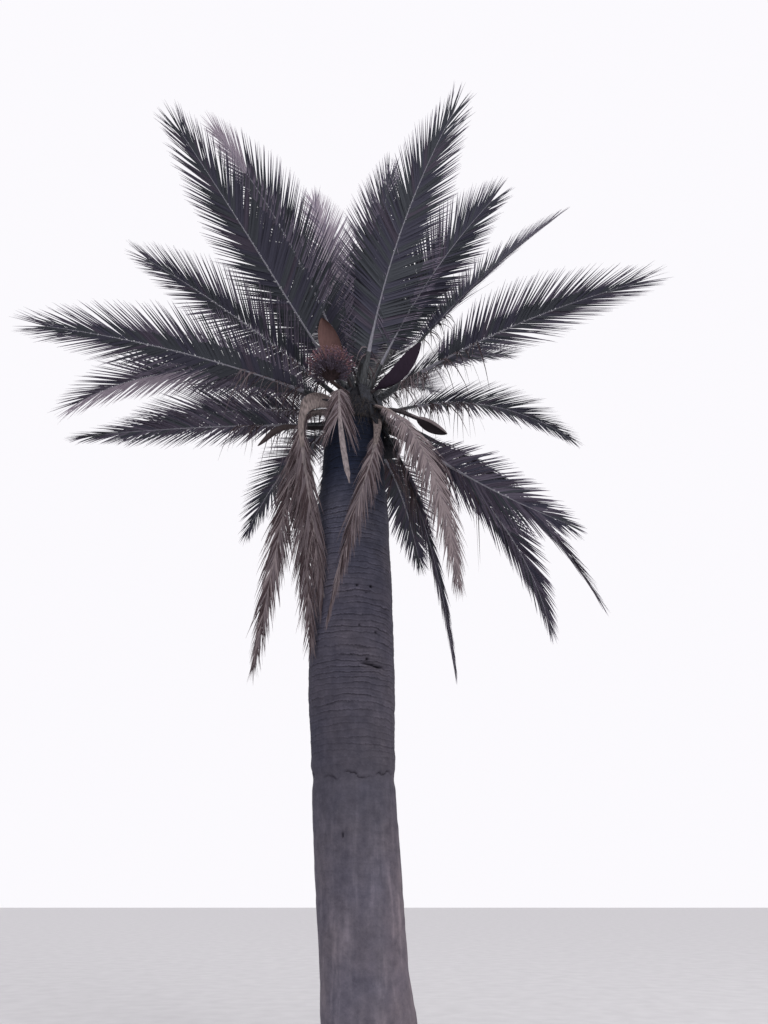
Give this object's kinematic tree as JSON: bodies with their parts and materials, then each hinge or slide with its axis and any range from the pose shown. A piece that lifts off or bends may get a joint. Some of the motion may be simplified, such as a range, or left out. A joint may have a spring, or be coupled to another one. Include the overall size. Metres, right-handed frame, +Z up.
{
  "type": "chilean wine palm",
  "caption": "Rooted Chilean wine palm: stout leaning grey trunk with a flared foot, a full crown of feather fronds, dead fronds hanging at its neck, and a flower cluster with woody bracts.",
  "frame": {"origin": "middle of the flat cut at ground level under the trunk", "axes": "+Z up the trunk; -Y towards the viewer of the picture; +X to the viewer's right"},
  "size_m": [7.5835, 6.3493, 11.7759],
  "materials": {
    "trunk_bark": "rough grey bark with leaf-scar rings",
    "leaf_bases": "dark fibrous leaf bases",
    "flower_cluster": "matt dark red buds",
    "bract": "dry woody, semi-matt",
    "live_frond": "stiff green leaflets, slight sheen",
    "dead_frond": "dry grey-brown leaflets, matt"
  },
  "bodies": {
    "root": {"trunk": "trunk_bark", "crown_heart": "leaf_bases", "leaf_base_pad": "leaf_bases", "flower_cluster": "flower_cluster", "flower_bract": "bract", "closed_bract": "bract", "old_bract": "bract", "side_bract": "bract", "high_frond_1": "live_frond", "high_frond_2": "live_frond", "high_frond_3": "live_frond", "high_frond_4": "live_frond", "high_frond_5": "live_frond", "high_frond_6": "live_frond", "high_frond_7": "live_frond", "high_frond_8": "live_frond", "high_frond_9": "live_frond", "spreading_frond_1": "live_frond", "spreading_frond_2": "live_frond", "spreading_frond_3": "live_frond", "spreading_frond_4": "live_frond", "spreading_frond_5": "live_frond", "spreading_frond_6": "live_frond", "spreading_frond_7": "live_frond", "spreading_frond_8": "live_frond", "spreading_frond_9": "live_frond", "spreading_frond_10": "live_frond", "drooping_frond_1": "live_frond", "drooping_frond_2": "live_frond", "drooping_frond_3": "live_frond", "drooping_frond_4": "live_frond", "drooping_frond_5": "live_frond", "drooping_frond_6": "live_frond", "drooping_frond_7": "live_frond", "hanging_frond_1": "live_frond", "hanging_frond_2": "live_frond", "dead_frond_1": "dead_frond", "dead_frond_2": "dead_frond", "dead_frond_3": "dead_frond", "dead_frond_4": "dead_frond", "dead_frond_5": "dead_frond", "dead_frond_6": "dead_frond", "dead_frond_7": "dead_frond", "dead_frond_8": "dead_frond"}
  },
  "joints": []
}
